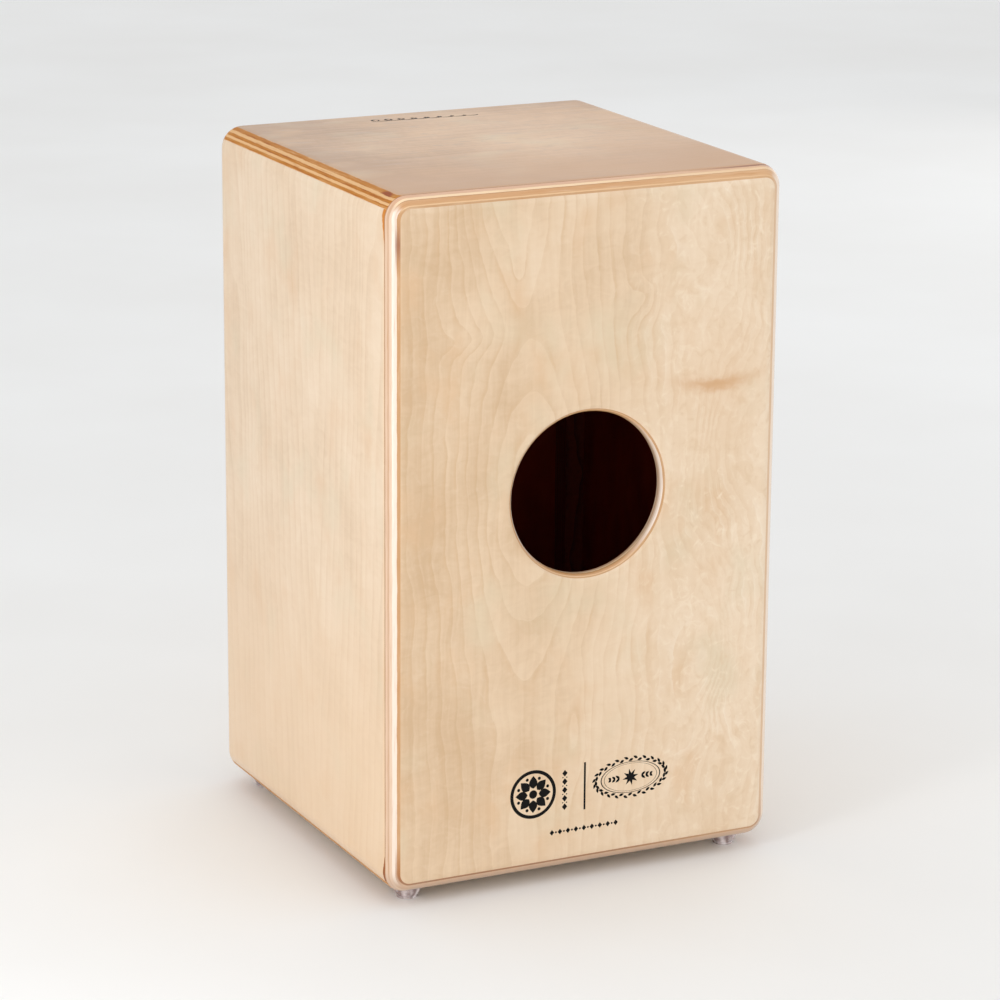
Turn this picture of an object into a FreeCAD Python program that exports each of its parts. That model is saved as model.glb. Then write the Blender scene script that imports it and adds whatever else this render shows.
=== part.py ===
"""Cajon: a plywood box drum with a thin playing face, a sound hole and an adjustable string snare.

Millimetres. +Z is up and z = 0 is the floor under the feet. The playing face (tapa) looks along -Y,
the panel with the sound hole looks along +Y, and the player, who faces -Y, has +X on the left.
"""
import FreeCAD, Part

import math
import os

Vec = FreeCAD.Vector
X_DIR = Vec(1, 0, 0)
Y_DIR = Vec(0, 1, 0)
Z_DIR = Vec(0, 0, 1)
SIDES = {"left": 1, "right": -1}

# ---- driving dimensions -------------------------------------------------------------------------
TOTAL_HEIGHT = 500.0
WIDTH = 300.0
DEPTH = 300.0
FOOT_HEIGHT = 10.0

SHELL_THICKNESS = 9.0          # seat, bottom and sides, birch plywood
BACK_THICKNESS = 9.0
TAPA_THICKNESS = 3.0
LONG_EDGE_RADIUS = 16.0        # the four edges that run from front to back
RIM_RADIUS = 12.0              # the edges all round the front and the back face

SOUND_HOLE_RADIUS = 57.5
SOUND_HOLE_HEIGHT = 282.0
SOUND_HOLE_OUTER_ROUND = 5.0
SOUND_HOLE_INNER_ROUND = 1.5

FRONT_BATTEN = 15.0            # seen from the front
FRONT_BATTEN_DEPTH = 18.0
TENSION_BLOCK_DEPTH = 28.0     # the bottom front batten is deeper, because it carries the bolts
REAR_BATTEN = 12.0

SCREW_CLEARANCE = 0.05         # radial, between a plain screw shank and its pilot hole
PAN_HEAD_ROUND = 0.6           # of the head's height
PAN_SLOT_FLOOR = 0.45          # of the head's height, above the seat of the head
PAN_SLOT_HALF_WIDTH = 0.4

TAPA_SCREW_HEAD_RADIUS = 3.0
TAPA_SCREW_HEAD_DEPTH = 1.8
TAPA_SCREW_SHANK_RADIUS = 1.5
TAPA_SCREW_LENGTH = 15.0
CROSS_ARM = 1.65               # from the middle of the head to the end of the cross recess
CROSS_HALF_WIDTH = 0.45
CROSS_DEPTH = 0.9
TAPA_SCREW_INSET = 16.5        # from the outside of the box to the screw's axis
TAPA_SIDE_SCREWS = 5           # in each upright row, corners included
TAPA_TOP_SCREW_PITCH = 66.0
TAPA_BOTTOM_SCREW_PITCH = 88.0

FOOT_OFFSET = 126.0            # from the middle of the box, along X and along Y
FOOT_TOP_RADIUS = 10.2
FOOT_WAIST_RADIUS = 7.1
FOOT_BASE_RADIUS = 7.4
FOOT_BASE_HEIGHT = 1.1
FOOT_LIP_RISE = 0.3            # from the top of the base up to the waist
FOOT_BELLY = 2.6               # how far the taper stands out from the waist at half height
FOOT_EDGE_ROUND = 0.5
FOOT_RECESS_RADIUS = 5.0
FOOT_RECESS_DEPTH = 6.0
FOOT_WASHER_RADIUS = 4.5
FOOT_WASHER_THICKNESS = 0.8
FOOT_SCREW_RADIUS = 2.0
FOOT_SCREW_HEAD_RADIUS = 3.6
FOOT_SCREW_HEAD_HEIGHT = 2.4
FOOT_SCREW_GRIP = 12.6         # under the head

BOLT_X = 48.0                  # distance of each tension bolt from the middle
BOLT_Y = -133.0
BOLT_RADIUS = 2.5
BOLT_HEAD_RADIUS = 4.25
BOLT_HEAD_HEIGHT = 5.0
BOLT_HEAD_RECESS = 1.0         # how far the head sits inside the bottom panel
BOLT_TIP_HEIGHT = 101.0
HEX_SOCKET_ACROSS_FLATS = 4.0
HEX_SOCKET_DEPTH = 2.6
BOLT_HEAD_CHAMFER = 0.4
BOLT_TIP_CHAMFER = 0.5
RUNNING_CLEARANCE = 0.06       # radial, round everything that turns or slides
BUSH_RADIUS = 4.0
BUSH_FLANGE_RADIUS = 5.2
BUSH_FLANGE_THICKNESS = 1.0
COUNTERBORE_RADIUS = 5.5
CLIP_RADIUS = 4.6
CLIP_THICKNESS = 1.2
CLIP_GROOVE_RADIUS = 2.1
CLIP_GAP_ANGLE = 70.0
CLIP_ABOVE_BUSH = 0.3
CLIP_PLAY = 0.1                # above and below the clip in its groove

CARRIAGE_HALF_WIDTH = 12.0
CARRIAGE_BOTTOM = 62.0
CARRIAGE_HEIGHT = 12.0
CARRIAGE_FRONT = -140.0
CARRIAGE_BACK = -126.0
CARRIAGE_LIP_THICKNESS = 5.0
CARRIAGE_LIP_GAP = 0.4         # between the lip and the tapa
CARRIAGE_ROUND = 1.5
STRING_SLOT_WIDTH = 1.3
STRING_SLOT_DEPTH = 4.4

BRACKET_THICKNESS = 1.5
BRACKET_FOLD_RADIUS = 1.35
BRACKET_SIDE_GAP = 0.4
BRACKET_TOP = 99.5
BRACKET_EAR = 12.0
BRACKET_SCREW_RADIUS = 1.5
BRACKET_SCREW_HEAD_RADIUS = 3.0
BRACKET_SCREW_HEAD_HEIGHT = 2.0
BRACKET_SCREW_GRIP = 12.0

STRING_RADIUS = 0.45
STRING_HALF_PITCH = 5.0        # half the distance between the two strings of a pair
STRING_TOP_X = 88.0            # middle of a pair at the string bar
STRING_CONTACT_GAP = 0.1       # between a string and the tapa or the string bar
BALL_RADIUS = 2.0
BALL_LENGTH = 3.6
BALL_Y = -143.6
STRING_START_GAP = 0.4         # above the ball, inside its loop
STRING_BEND_ABOVE_LIP = 1.0

STRING_BAR_BOTTOM = 440.0
STRING_BAR_HEIGHT = 12.0
STRING_BAR_DEPTH = 16.0
ANCHOR_Y = -138.0
ANCHOR_SHANK_RADIUS = 1.4
ANCHOR_HEAD_RADIUS = 3.2
ANCHOR_HEAD_HEIGHT = 2.0
ANCHOR_LENGTH = 11.0

# ---- sizes worked out from them -----------------------------------------------------------------
BOX_BOTTOM = FOOT_HEIGHT
BOX_TOP = TOTAL_HEIGHT
HALF_WIDTH = WIDTH / 2
HALF_DEPTH = DEPTH / 2
INSIDE_X = HALF_WIDTH - SHELL_THICKNESS
INSIDE_FRONT = -HALF_DEPTH + TAPA_THICKNESS
INSIDE_BACK = HALF_DEPTH - BACK_THICKNESS
INSIDE_BOTTOM = BOX_BOTTOM + SHELL_THICKNESS
INSIDE_TOP = BOX_TOP - SHELL_THICKNESS
BLOCK_TOP = INSIDE_BOTTOM + FRONT_BATTEN
BAR_TOP = STRING_BAR_BOTTOM + STRING_BAR_HEIGHT
BOLT_SHOULDER = BOX_BOTTOM + BOLT_HEAD_RECESS + BOLT_HEAD_HEIGHT
CARRIAGE_TOP = CARRIAGE_BOTTOM + CARRIAGE_HEIGHT
BALL_Z = CARRIAGE_TOP - CARRIAGE_LIP_THICKNESS - BALL_RADIUS
STRING_Y = INSIDE_FRONT + STRING_CONTACT_GAP + STRING_RADIUS
CLIP_BOTTOM = BLOCK_TOP + CLIP_ABOVE_BUSH       # keeps the bolt from being pushed out downwards
HALF_ROOT = math.sqrt(0.5)
CUT_PAST = 1.0                 # how far a cutter runs past the face it opens
TINY = 1e-3                    # for finding edges by their place


def block(low, high):
    """Box between two corners."""
    size = [b - a for a, b in zip(low, high)]
    return Part.makeBox(*size, Vec(*low))


def round_bar(base, direction, radius, length):
    return Part.makeCylinder(radius, length, Vec(*base), direction)


def ring(base, direction, outer, inner, length):
    return round_bar(base, direction, outer, length).cut(round_bar(base, direction, inner, length))


def fuse(shapes):
    """One solid out of touching or overlapping ones."""
    whole = shapes[0].multiFuse(shapes[1:]) if len(shapes) > 1 else shapes[0]
    return whole.removeSplitter()


def write(node, *shapes):
    """One STEP file for a node; several shapes stay separate solids."""
    whole = shapes[0] if len(shapes) == 1 else Part.makeCompound(list(shapes))
    solids = whole.Solids
    if not whole.isValid() or not solids:
        raise ValueError("bad shape in " + node)
    whole = solids[0] if len(solids) == 1 else Part.makeCompound(solids)
    whole.exportStep("parts/" + node + ".step")


# ---- screw and foot places ----------------------------------------------------------------------
def tapa_screw_places():
    """X and Z of every tapa screw: two upright rows and the screws between their ends."""
    x = HALF_WIDTH - TAPA_SCREW_INSET
    low = BOX_BOTTOM + TAPA_SCREW_INSET
    high = BOX_TOP - TAPA_SCREW_INSET
    step = (high - low) / (TAPA_SIDE_SCREWS - 1)
    places = [(side * x, low + row * step) for side in SIDES.values() for row in range(TAPA_SIDE_SCREWS)]
    places += [(k * TAPA_TOP_SCREW_PITCH, high) for k in (-1, 0, 1)]
    places += [(k * TAPA_BOTTOM_SCREW_PITCH, low) for k in (-1, 0, 1)]
    return places


def foot_places():
    return {
        side_end: (SIDES[side_end.split("_")[1]] * FOOT_OFFSET, y)
        for side_end, y in (
            ("front_left", -FOOT_OFFSET), ("front_right", -FOOT_OFFSET),
            ("rear_left", FOOT_OFFSET), ("rear_right", FOOT_OFFSET),
        )
    }


def bracket_screw_places():
    reach = CARRIAGE_HALF_WIDTH + BRACKET_SIDE_GAP + BRACKET_THICKNESS + BRACKET_EAR / 2
    return [(side * BOLT_X + k * reach, BOLT_Y) for side in SIDES.values() for k in (-1, 1)]


def string_places(x_middle):
    return [x_middle + k * STRING_HALF_PITCH for k in (-1, 1)]


# ---- fasteners ----------------------------------------------------------------------------------
def countersunk_screw(x, z, clearance=0.0):
    """Tapa screw, flush with the playing face; with a clearance it is the tool that cuts its hole."""
    face = Vec(x, -HALF_DEPTH, z)
    head = Part.makeCone(
        TAPA_SCREW_HEAD_RADIUS + clearance, TAPA_SCREW_SHANK_RADIUS + clearance,
        TAPA_SCREW_HEAD_DEPTH, face, Y_DIR)
    shank = Part.makeCylinder(
        TAPA_SCREW_SHANK_RADIUS + clearance, TAPA_SCREW_LENGTH + clearance, face, Y_DIR)
    return fuse([head, shank])


def cross_recess(x, z):
    """Cross slot in the head of a tapa screw."""
    low = -HALF_DEPTH
    high = low + CROSS_DEPTH
    flat = block((x - CROSS_ARM, low, z - CROSS_HALF_WIDTH), (x + CROSS_ARM, high, z + CROSS_HALF_WIDTH))
    upright = block((x - CROSS_HALF_WIDTH, low, z - CROSS_ARM), (x + CROSS_HALF_WIDTH, high, z + CROSS_ARM))
    return flat.fuse(upright)


def wood_screw(x, y, z, up, radius, length, head_radius, head_height):
    """Pan head screw along Z whose head rests on z; up is the way the shank goes."""
    direction = Z_DIR if up else -Z_DIR
    shank = round_bar((x, y, z), direction, radius, length)
    head = round_bar((x, y, z), -direction, head_radius, head_height)
    head_end = z - direction.z * head_height
    outer = [e for e in head.Edges if abs(e.BoundBox.Center.z - head_end) < TINY]
    head = head.makeFillet(head_height * PAN_HEAD_ROUND, outer)
    slot_floor = z - direction.z * head_height * PAN_SLOT_FLOOR
    slot = block(
        (x - head_radius, y - PAN_SLOT_HALF_WIDTH, min(head_end, slot_floor)),
        (x + head_radius, y + PAN_SLOT_HALF_WIDTH, max(head_end, slot_floor)))
    return fuse([shank, head]).cut(slot)


# ---- box ----------------------------------------------------------------------------------------
def envelope():
    """Outer form of the box: long edges rounded first, then the rims of the two end faces."""
    box = block((-HALF_WIDTH, -HALF_DEPTH, BOX_BOTTOM), (HALF_WIDTH, HALF_DEPTH, BOX_TOP))
    long_edges = [e for e in box.Edges if abs(e.BoundBox.YLength - DEPTH) < TINY]
    box = box.makeFillet(LONG_EDGE_RADIUS, long_edges)
    rims = [
        e for e in box.Edges
        if e.BoundBox.YLength < TINY and abs(abs(e.BoundBox.Center.y) - HALF_DEPTH) < TINY]
    return box.makeFillet(RIM_RADIUS, rims)


def sound_hole_tool():
    """Cutter for the sound hole, wider towards both faces so that its edges come out rounded."""
    outer_face = HALF_DEPTH
    outer = SOUND_HOLE_RADIUS + SOUND_HOLE_OUTER_ROUND
    inner = SOUND_HOLE_RADIUS + SOUND_HOLE_INNER_ROUND

    def at(radius, y):
        return Vec(radius, y, 0)

    outer_mid = at(outer - SOUND_HOLE_OUTER_ROUND * HALF_ROOT,
                   outer_face - SOUND_HOLE_OUTER_ROUND * (1 - HALF_ROOT))
    inner_mid = at(inner - SOUND_HOLE_INNER_ROUND * HALF_ROOT,
                   INSIDE_BACK + SOUND_HOLE_INNER_ROUND * (1 - HALF_ROOT))
    corners = [
        at(0, INSIDE_BACK - CUT_PAST), at(inner, INSIDE_BACK - CUT_PAST), at(inner, INSIDE_BACK),
        at(SOUND_HOLE_RADIUS, INSIDE_BACK + SOUND_HOLE_INNER_ROUND),
        at(SOUND_HOLE_RADIUS, outer_face - SOUND_HOLE_OUTER_ROUND),
        at(outer, outer_face), at(outer, outer_face + CUT_PAST), at(0, outer_face + CUT_PAST)]
    edges = [
        Part.LineSegment(corners[0], corners[1]).toShape(),
        Part.LineSegment(corners[1], corners[2]).toShape(),
        Part.Arc(corners[2], inner_mid, corners[3]).toShape(),
        Part.LineSegment(corners[3], corners[4]).toShape(),
        Part.Arc(corners[4], outer_mid, corners[5]).toShape(),
        Part.LineSegment(corners[5], corners[6]).toShape(),
        Part.LineSegment(corners[6], corners[7]).toShape(),
        Part.LineSegment(corners[7], corners[0]).toShape()]
    tool = Part.Face(Part.Wire(edges)).revolve(Vec(0, 0, 0), Y_DIR, 360)
    tool.translate(Vec(0, 0, SOUND_HOLE_HEIGHT))
    return tool


def bolt_hole():
    """Counterbore and through hole of both tension bolts' bushes, as one tool."""
    flange_seat = BOLT_SHOULDER + BUSH_FLANGE_THICKNESS
    tools = []
    for side in SIDES.values():
        x = side * BOLT_X
        tools.append(round_bar((x, BOLT_Y, 0), Z_DIR, COUNTERBORE_RADIUS, flange_seat))
        tools.append(round_bar((x, BOLT_Y, 0), Z_DIR, BUSH_RADIUS + SCREW_CLEARANCE, BLOCK_TOP + CUT_PAST))
    return tools


def foot_screw_tools():
    length = FOOT_SCREW_GRIP + SCREW_CLEARANCE
    start = FOOT_RECESS_DEPTH - FOOT_WASHER_THICKNESS
    radius = FOOT_SCREW_RADIUS + SCREW_CLEARANCE
    return [round_bar((x, y, start), Z_DIR, radius, length) for x, y in foot_places().values()]


def make_shell(form):
    """Seat, bottom, two sides, back and tapa, each cut out of the same rounded form."""
    front = INSIDE_FRONT
    back = INSIDE_BACK
    edge = HALF_WIDTH
    tapa_holes = [countersunk_screw(x, z, SCREW_CLEARANCE) for x, z in tapa_screw_places()]

    seat = form.common(block((-edge, front, INSIDE_TOP), (edge, back, BOX_TOP)))
    write("seat_panel", seat)

    bottom = form.common(block((-edge, front, BOX_BOTTOM), (edge, back, INSIDE_BOTTOM)))
    write("bottom_panel", bottom.cut(bolt_hole() + foot_screw_tools()))

    for name, side in SIDES.items():
        near = min(side * INSIDE_X, side * edge)
        far = max(side * INSIDE_X, side * edge)
        panel = form.common(block((near, front, INSIDE_BOTTOM), (far, back, INSIDE_TOP)))
        write("side_panel_" + name, panel)

    rear = form.common(block((-edge, back, BOX_BOTTOM), (edge, HALF_DEPTH, BOX_TOP)))
    write("back_panel", rear.cut(sound_hole_tool()))

    tapa = form.common(block((-edge, -HALF_DEPTH, BOX_BOTTOM), (edge, front, BOX_TOP)))
    write("tapa", tapa.cut(tapa_holes))


def make_battens():
    """Two frames of battens in the corners: one behind the tapa and one behind the back panel."""
    tools = [countersunk_screw(x, z, SCREW_CLEARANCE) for x, z in tapa_screw_places()]
    front = INSIDE_FRONT
    deep = front + FRONT_BATTEN_DEPTH
    top_low = INSIDE_TOP - FRONT_BATTEN
    write("front_batten_top", block((-INSIDE_X, front, top_low), (INSIDE_X, deep, INSIDE_TOP)).cut(tools))

    lower = block((-INSIDE_X, front, INSIDE_BOTTOM), (INSIDE_X, front + TENSION_BLOCK_DEPTH, BLOCK_TOP))
    screws = [
        round_bar((x, y, BLOCK_TOP), -Z_DIR, BRACKET_SCREW_RADIUS + SCREW_CLEARANCE,
                  BRACKET_SCREW_GRIP - BRACKET_THICKNESS + SCREW_CLEARANCE)
        for x, y in bracket_screw_places()]
    write("front_batten_bottom", lower.cut(tools + bolt_hole() + screws))

    back = INSIDE_BACK
    shallow = back - REAR_BATTEN
    write("rear_batten_top",
          block((-INSIDE_X, shallow, INSIDE_TOP - REAR_BATTEN), (INSIDE_X, back, INSIDE_TOP)))
    write("rear_batten_bottom",
          block((-INSIDE_X, shallow, INSIDE_BOTTOM), (INSIDE_X, back, INSIDE_BOTTOM + REAR_BATTEN)))

    for name, side in SIDES.items():
        outer = side * INSIDE_X
        inner = side * (INSIDE_X - FRONT_BATTEN)
        upright = block((min(inner, outer), front, BLOCK_TOP), (max(inner, outer), deep, top_low))
        write("front_batten_" + name, upright.cut(tools))
        inner = side * (INSIDE_X - REAR_BATTEN)
        write("rear_batten_" + name,
              block((min(inner, outer), shallow, INSIDE_BOTTOM + REAR_BATTEN),
                    (max(inner, outer), back, INSIDE_TOP - REAR_BATTEN)))


def make_tapa_screws():
    write("tapa_screws", *[countersunk_screw(x, z).cut(cross_recess(x, z)) for x, z in tapa_screw_places()])


# ---- feet ---------------------------------------------------------------------------------------
def foot(x, y):
    """Turned rubber foot: a hollow taper to a narrow waist, and a slightly wider base."""
    top = Vec(FOOT_TOP_RADIUS, 0, FOOT_HEIGHT)
    waist = Vec(FOOT_WAIST_RADIUS, 0, FOOT_BASE_HEIGHT + FOOT_LIP_RISE)
    belly = Vec(FOOT_WAIST_RADIUS + FOOT_BELLY, 0, (FOOT_HEIGHT + FOOT_BASE_HEIGHT) / 2)
    base = Vec(FOOT_BASE_RADIUS, 0, FOOT_BASE_HEIGHT)
    corner = Vec(FOOT_BASE_RADIUS, 0, FOOT_EDGE_ROUND)
    floor_edge = Vec(FOOT_BASE_RADIUS - FOOT_EDGE_ROUND, 0, 0)
    round_in = FOOT_EDGE_ROUND * (1 - HALF_ROOT)
    round_mid = Vec(FOOT_BASE_RADIUS - round_in, 0, round_in)
    centre_low = Vec(0, 0, 0)
    centre_high = Vec(0, 0, FOOT_HEIGHT)
    edges = [
        Part.LineSegment(centre_high, top).toShape(),
        Part.Arc(top, belly, waist).toShape(),
        Part.LineSegment(waist, base).toShape(),
        Part.LineSegment(base, corner).toShape(),
        Part.Arc(corner, round_mid, floor_edge).toShape(),
        Part.LineSegment(floor_edge, centre_low).toShape(),
        Part.LineSegment(centre_low, centre_high).toShape()]
    body = Part.Face(Part.Wire(edges)).revolve(Vec(0, 0, 0), Z_DIR, 360)
    recess = round_bar((0, 0, 0), Z_DIR, FOOT_RECESS_RADIUS, FOOT_RECESS_DEPTH)
    hole = round_bar((0, 0, 0), Z_DIR, FOOT_SCREW_RADIUS + SCREW_CLEARANCE, FOOT_HEIGHT)
    body = body.cut([recess, hole])
    body.translate(Vec(x, y, 0))
    return body


def make_feet():
    washers = []
    screws = []
    washer_low = FOOT_RECESS_DEPTH - FOOT_WASHER_THICKNESS
    for name, (x, y) in foot_places().items():
        write("foot_" + name, foot(x, y))
        washers.append(ring((x, y, washer_low), Z_DIR, FOOT_WASHER_RADIUS,
                            FOOT_SCREW_RADIUS + SCREW_CLEARANCE, FOOT_WASHER_THICKNESS))
        screws.append(wood_screw(x, y, washer_low, True, FOOT_SCREW_RADIUS, FOOT_SCREW_GRIP,
                                 FOOT_SCREW_HEAD_RADIUS, FOOT_SCREW_HEAD_HEIGHT))
    write("foot_washers", *washers)
    write("foot_screws", *screws)


# ---- snare tensioner ----------------------------------------------------------------------------
def hexagon(x, y, z, across_flats, height):
    """Six-sided bar along +Z."""
    radius = across_flats / math.sqrt(3)
    points = [Vec(x + radius * math.cos(math.radians(a)), y + radius * math.sin(math.radians(a)), z)
              for a in range(0, 361, 60)]
    return Part.Face(Part.makePolygon(points)).extrude(Vec(0, 0, height))


def tension_bolt(x):
    """Socket head bolt, head down, with a groove for its retaining clip."""
    head_low = BOX_BOTTOM + BOLT_HEAD_RECESS
    head = round_bar((x, BOLT_Y, head_low), Z_DIR, BOLT_HEAD_RADIUS, BOLT_HEAD_HEIGHT)
    rim = [e for e in head.Edges if e.BoundBox.ZLength < TINY and abs(e.BoundBox.Center.z - head_low) < TINY]
    head = head.makeChamfer(BOLT_HEAD_CHAMFER, rim)
    shank = round_bar((x, BOLT_Y, BOLT_SHOULDER), Z_DIR, BOLT_RADIUS, BOLT_TIP_HEIGHT - BOLT_SHOULDER)
    tip = [e for e in shank.Edges
           if e.BoundBox.ZLength < TINY and abs(e.BoundBox.Center.z - BOLT_TIP_HEIGHT) < TINY]
    shank = shank.makeChamfer(BOLT_TIP_CHAMFER, tip)
    groove = ring((x, BOLT_Y, CLIP_BOTTOM - CLIP_PLAY), Z_DIR, BOLT_RADIUS + CUT_PAST, CLIP_GROOVE_RADIUS,
                  CLIP_THICKNESS + 2 * CLIP_PLAY)
    socket = hexagon(x, BOLT_Y, head_low, HEX_SOCKET_ACROSS_FLATS, HEX_SOCKET_DEPTH)
    return fuse([head, shank]).cut([groove, socket])


def retaining_clip(x):
    """Flat ring with a gap, sprung into the bolt's groove."""
    base = (x, BOLT_Y, CLIP_BOTTOM)
    band = ring(base, Z_DIR, CLIP_RADIUS, CLIP_GROOVE_RADIUS, CLIP_THICKNESS)
    wedge = Part.makeCylinder(CLIP_RADIUS + CUT_PAST, CLIP_THICKNESS, Vec(*base), Z_DIR, CLIP_GAP_ANGLE)
    return band.cut(wedge)


def bolt_bush(x):
    """Flanged sleeve that the bolt turns in; its flange takes the pull of the strings."""
    flange = round_bar((x, BOLT_Y, BOLT_SHOULDER), Z_DIR, BUSH_FLANGE_RADIUS, BUSH_FLANGE_THICKNESS)
    sleeve = round_bar((x, BOLT_Y, BOLT_SHOULDER), Z_DIR, BUSH_RADIUS, BLOCK_TOP - BOLT_SHOULDER)
    bore = round_bar((x, BOLT_Y, BOLT_SHOULDER), Z_DIR, BOLT_RADIUS + RUNNING_CLEARANCE,
                     BLOCK_TOP - BOLT_SHOULDER)
    return fuse([flange, sleeve]).cut(bore)


def string_carriage(x):
    """Nut block with a lip that holds the lower ends of two strings."""
    half = CARRIAGE_HALF_WIDTH
    body = block((x - half, CARRIAGE_FRONT, CARRIAGE_BOTTOM), (x + half, CARRIAGE_BACK, CARRIAGE_TOP))
    lip_front = INSIDE_FRONT + CARRIAGE_LIP_GAP
    lip = block((x - half, lip_front, CARRIAGE_TOP - CARRIAGE_LIP_THICKNESS),
                (x + half, CARRIAGE_FRONT, CARRIAGE_TOP))
    whole = fuse([body, lip])
    uprights = [
        e for e in whole.Edges
        if e.BoundBox.ZLength > CARRIAGE_LIP_THICKNESS - TINY and e.BoundBox.YLength < TINY
        and abs(abs(e.BoundBox.Center.x - x) - half) < TINY
        and (e.BoundBox.Center.y > CARRIAGE_BACK - TINY or e.BoundBox.Center.y < lip_front + TINY)]
    whole = whole.makeFillet(CARRIAGE_ROUND, uprights)
    tools = [round_bar((x, BOLT_Y, CARRIAGE_BOTTOM), Z_DIR, BOLT_RADIUS + RUNNING_CLEARANCE, CARRIAGE_HEIGHT)]
    for string_x in string_places(x):
        tools.append(block(
            (string_x - STRING_SLOT_WIDTH / 2, lip_front, CARRIAGE_TOP - CARRIAGE_LIP_THICKNESS),
            (string_x + STRING_SLOT_WIDTH / 2, lip_front + STRING_SLOT_DEPTH, CARRIAGE_TOP)))
    return whole.cut(tools)


def guide_bracket(x):
    """Strip of steel folded to a hat: two ears, two cheeks that guide the carriage, and a bridge."""
    inner = CARRIAGE_HALF_WIDTH + BRACKET_SIDE_GAP
    outer = inner + BRACKET_THICKNESS
    front = CARRIAGE_FRONT
    back = CARRIAGE_BACK
    pieces = [block((x - outer, front, BRACKET_TOP - BRACKET_THICKNESS), (x + outer, back, BRACKET_TOP))]
    tools = [round_bar((x, BOLT_Y, BRACKET_TOP - BRACKET_THICKNESS), Z_DIR,
                       BOLT_RADIUS + RUNNING_CLEARANCE, BRACKET_THICKNESS)]
    for side in SIDES.values():
        near = x + side * inner
        far = x + side * outer
        end = x + side * (outer + BRACKET_EAR)
        pieces.append(block((min(near, far), front, BLOCK_TOP), (max(near, far), back, BRACKET_TOP)))
        pieces.append(block((min(near, end), front, BLOCK_TOP),
                            (max(near, end), back, BLOCK_TOP + BRACKET_THICKNESS)))
        tools.append(round_bar((x + side * (outer + BRACKET_EAR / 2), BOLT_Y, BLOCK_TOP), Z_DIR,
                               BRACKET_SCREW_RADIUS + SCREW_CLEARANCE, BRACKET_THICKNESS))
    whole = fuse(pieces)
    folds = [
        e for e in whole.Edges
        if e.BoundBox.YLength > back - front - TINY
        and abs(e.BoundBox.Center.z - BRACKET_TOP) < TINY]
    return whole.makeFillet(BRACKET_FOLD_RADIUS, folds).cut(tools)


def string_path(bottom_x, top_x):
    """Ball end, carriage lip, along the tapa, over the string bar, to the anchor screw."""
    over_bar = BAR_TOP + STRING_CONTACT_GAP + STRING_RADIUS
    return [
        Vec(bottom_x, BALL_Y, BALL_Z + BALL_RADIUS + STRING_START_GAP),
        Vec(bottom_x, STRING_Y, CARRIAGE_TOP + STRING_BEND_ABOVE_LIP),
        Vec(top_x, STRING_Y, over_bar),
        Vec(top_x, ANCHOR_Y - ANCHOR_SHANK_RADIUS - STRING_CONTACT_GAP, over_bar)]


def snare_string(bottom_x, top_x):
    points = string_path(bottom_x, top_x)
    pieces = []
    for start, end in zip(points, points[1:]):
        run = end - start
        pieces.append(Part.makeCylinder(STRING_RADIUS, run.Length, start, run))
    pieces += [Part.makeSphere(STRING_RADIUS, point) for point in points[1:-1]]
    return fuse(pieces)


def make_snare():
    anchor_screws = []
    for name, side in SIDES.items():
        x = side * BOLT_X
        write("tension_bolt_" + name, tension_bolt(x))
        write("retaining_clip_" + name, retaining_clip(x))
        write("bolt_bush_" + name, bolt_bush(x))
        write("string_carriage_" + name, string_carriage(x))
        write("guide_bracket_" + name, guide_bracket(x))
        bottom_places = string_places(x)
        top_places = string_places(side * STRING_TOP_X)
        write("snare_strings_" + name, *[snare_string(b, t) for b, t in zip(bottom_places, top_places)])
        write("string_ball_ends_" + name,
              *[round_bar((b - BALL_LENGTH / 2, BALL_Y, BALL_Z), X_DIR, BALL_RADIUS, BALL_LENGTH)
                for b in bottom_places])
        anchor_screws += [
            wood_screw(t, ANCHOR_Y, anchor_head_bottom(), False, ANCHOR_SHANK_RADIUS, ANCHOR_LENGTH,
                       ANCHOR_HEAD_RADIUS, ANCHOR_HEAD_HEIGHT)
            for t in top_places]
    write("string_anchor_screws", *anchor_screws)
    write("bracket_screws", *[
        wood_screw(x, y, BLOCK_TOP + BRACKET_THICKNESS, False, BRACKET_SCREW_RADIUS, BRACKET_SCREW_GRIP,
                   BRACKET_SCREW_HEAD_RADIUS, BRACKET_SCREW_HEAD_HEIGHT)
        for x, y in bracket_screw_places()])
    write("string_bar", string_bar())


def anchor_head_bottom():
    """Each anchor screw's head stands above the string that is wound under it."""
    return BAR_TOP + 2 * STRING_RADIUS + 2 * STRING_CONTACT_GAP


def string_bar():
    """Cross bar behind the tapa that the strings bend over, glued between the upright battens."""
    half = INSIDE_X - FRONT_BATTEN
    front = STRING_Y + STRING_RADIUS + STRING_CONTACT_GAP
    bar = block((-half, front, STRING_BAR_BOTTOM), (half, front + STRING_BAR_DEPTH, BAR_TOP))
    depth = ANCHOR_LENGTH - (anchor_head_bottom() - BAR_TOP) + SCREW_CLEARANCE
    tools = [
        round_bar((x, ANCHOR_Y, BAR_TOP), -Z_DIR, ANCHOR_SHANK_RADIUS + SCREW_CLEARANCE, depth)
        for side in SIDES.values() for x in string_places(side * STRING_TOP_X)]
    return bar.cut(tools)


os.makedirs("parts", exist_ok=True)
make_shell(envelope())
make_battens()
make_tapa_screws()
make_feet()
make_snare()
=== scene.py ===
import math

import bmesh
import bpy
from mathutils import Matrix, Vector


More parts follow.
